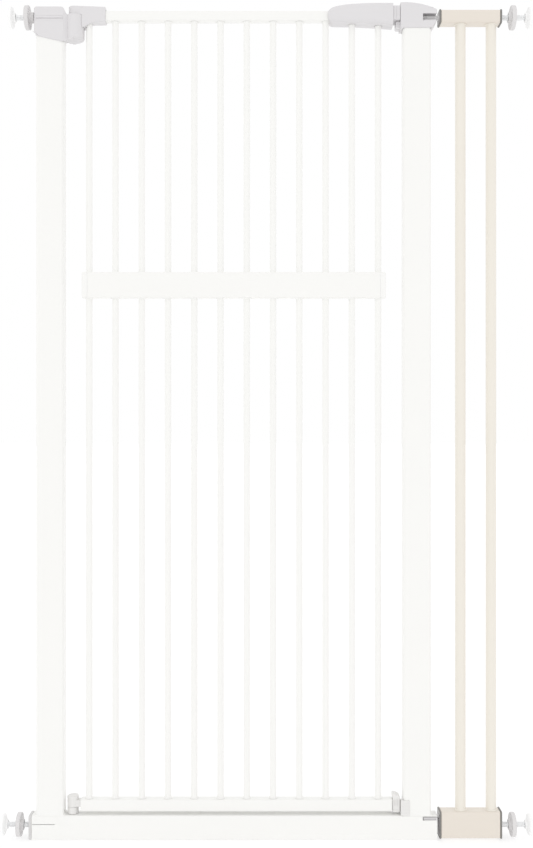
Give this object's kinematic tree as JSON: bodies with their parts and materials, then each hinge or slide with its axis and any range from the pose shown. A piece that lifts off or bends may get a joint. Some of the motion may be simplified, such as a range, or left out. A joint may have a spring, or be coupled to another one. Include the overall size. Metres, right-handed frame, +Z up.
{
  "type": "safety gate",
  "caption": "Extra-tall pressure-mounted walk-through safety gate: U frame, barred swing door with lift-and-slide handle, screw wall pads and a slim extension panel.",
  "frame": {"origin": "on the floor, halfway across the overall width and at mid depth", "axes": "+X to the extension side, +Y away from the viewer, +Z up"},
  "size_m": [0.956, 0.043, 1.5036],
  "materials": {
    "powder_white": "white powder coat on steel tube, faint orange peel",
    "white_plastic": "white moulded plastic, fine spark texture",
    "pale_grey_plastic": "pale lavender-grey moulded plastic, satin, fine spark texture",
    "mid_grey_plastic": "mid grey moulded plastic, satin",
    "dark_grey_plastic": "dark warm grey moulded plastic, satin",
    "powder_beige": "warm beige powder coat on steel tube, faint orange peel",
    "white_rubber": "soft white rubber, matt",
    "zinc_steel": "bright zinc-plated steel, rolled thread"
  },
  "bodies": {
    "frame": {"left_upright": "powder_white", "right_upright": "powder_white", "bottom_rail": "powder_white", "bottom_rail_cap": "mid_grey_plastic", "bottom_rail_socket": "pale_grey_plastic", "hinge_housing_front": "pale_grey_plastic", "hinge_housing_rear": "pale_grey_plastic", "bottom_hinge_socket": "pale_grey_plastic", "catch_front": "pale_grey_plastic", "catch_rear": "pale_grey_plastic", "latch_bracket": "pale_grey_plastic"},
    "hinge_pins": {"upper_hinge_pin": "zinc_steel", "lower_hinge_pin": "zinc_steel"},
    "door": {"door_top_rail": "powder_white", "door_mid_rail": "powder_white", "door_mid_rail_cap_left": "white_plastic", "door_mid_rail_cap_right": "white_plastic", "door_bottom_rail": "powder_white", "door_bar_01": "powder_white", "door_bar_02": "powder_white", "door_bar_03": "powder_white", "door_bar_04": "powder_white", "door_bar_05": "powder_white", "door_bar_06": "powder_white", "door_bar_07": "powder_white", "door_bar_08": "powder_white", "door_bar_09": "powder_white", "door_bar_10": "powder_white", "door_bar_11": "powder_white", "door_bar_12": "powder_white", "hinge_shroud": "pale_grey_plastic", "bottom_hinge_sleeve": "pale_grey_plastic", "door_foot": "pale_grey_plastic", "handle_front": "pale_grey_plastic", "handle_rear": "pale_grey_plastic", "latch_tongue": "mid_grey_plastic", "release_spring": "zinc_steel"},
    "release": {"release_button": "mid_grey_plastic", "lock_bar": "zinc_steel"},
    "extension": {"extension_top_tube": "powder_beige", "extension_bottom_tube": "powder_beige", "extension_bar_left": "powder_beige", "extension_bar_right": "powder_beige", "extension_plug_top": "dark_grey_plastic", "extension_plug_bottom": "dark_grey_plastic", "extension_cap_top": "dark_grey_plastic", "extension_cap_bottom": "dark_grey_plastic"},
    "nut_top_left": {"wheel_nut_top_left": "mid_grey_plastic"},
    "adjuster_top_left": {"spindle_top_left": "zinc_steel", "wall_pad_top_left": "white_rubber"},
    "nut_bottom_left": {"wheel_nut_bottom_left": "mid_grey_plastic"},
    "adjuster_bottom_left": {"spindle_bottom_left": "zinc_steel", "wall_pad_bottom_left": "white_rubber"},
    "nut_top_right": {"wheel_nut_top_right": "mid_grey_plastic"},
    "adjuster_top_right": {"spindle_top_right": "zinc_steel", "wall_pad_top_right": "white_rubber"},
    "nut_bottom_right": {"wheel_nut_bottom_right": "mid_grey_plastic"},
    "adjuster_bottom_right": {"spindle_bottom_right": "zinc_steel", "wall_pad_bottom_right": "white_rubber"}
  },
  "joints": [
    {"name": "door_swing", "type": "hinge", "parent": "frame", "child": "hinge_pins", "pos_m": [-0.346, 0, 0], "axis": [0, 0, 1], "range_deg": [-90, 90]},
    {"name": "door_lift", "type": "slide", "parent": "hinge_pins", "child": "door", "axis": [0, 0, 1], "range_m": [0, 0.008]},
    {"name": "release_slide", "type": "slide", "parent": "door", "child": "release", "axis": [-1, 0, 0], "range_m": [0, 0.008], "stiffness_N_per_m": 200, "springref_m": -0.004, "deforming": ["release_spring"]},
    {"name": "extension_pull", "type": "slide", "parent": "frame", "child": "extension", "axis": [1, 0, 0], "range_m": [0, 0.025]},
    {"name": "nut_turn_top_left", "type": "hinge", "parent": "frame", "child": "nut_top_left", "pos_m": [-0.445, 0, 1.481], "axis": [-1, 0, 0], "range_deg": [0, 2161]},
    {"name": "pad_travel_top_left", "type": "slide", "parent": "frame", "child": "adjuster_top_left", "axis": [-1, 0, 0], "range_m": [0, 0.015]},
    {"name": "nut_turn_bottom_left", "type": "hinge", "parent": "frame", "child": "nut_bottom_left", "pos_m": [-0.445, 0, 0.0235], "axis": [-1, 0, 0], "range_deg": [0, 2161]},
    {"name": "pad_travel_bottom_left", "type": "slide", "parent": "frame", "child": "adjuster_bottom_left", "axis": [-1, 0, 0], "range_m": [0, 0.015]},
    {"name": "nut_turn_top_right", "type": "hinge", "parent": "extension", "child": "nut_top_right", "pos_m": [0.445, 0, 1.481], "axis": [1, 0, 0], "range_deg": [0, 2161]},
    {"name": "pad_travel_top_right", "type": "slide", "parent": "extension", "child": "adjuster_top_right", "axis": [1, 0, 0], "range_m": [0, 0.015]},
    {"name": "nut_turn_bottom_right", "type": "hinge", "parent": "extension", "child": "nut_bottom_right", "pos_m": [0.445, 0, 0.0235], "axis": [1, 0, 0], "range_deg": [0, 2161]},
    {"name": "pad_travel_bottom_right", "type": "slide", "parent": "extension", "child": "adjuster_bottom_right", "axis": [1, 0, 0], "range_m": [0, 0.015]}
  ],
  "couplings": [
    {"joint": "nut_turn_top_left", "follows": "pad_travel_top_left", "rad_per_m": 2513.3},
    {"joint": "nut_turn_bottom_left", "follows": "pad_travel_bottom_left", "rad_per_m": 2513.3},
    {"joint": "nut_turn_top_right", "follows": "pad_travel_top_right", "rad_per_m": 2513.3},
    {"joint": "nut_turn_bottom_right", "follows": "pad_travel_bottom_right", "rad_per_m": 2513.3}
  ]
}
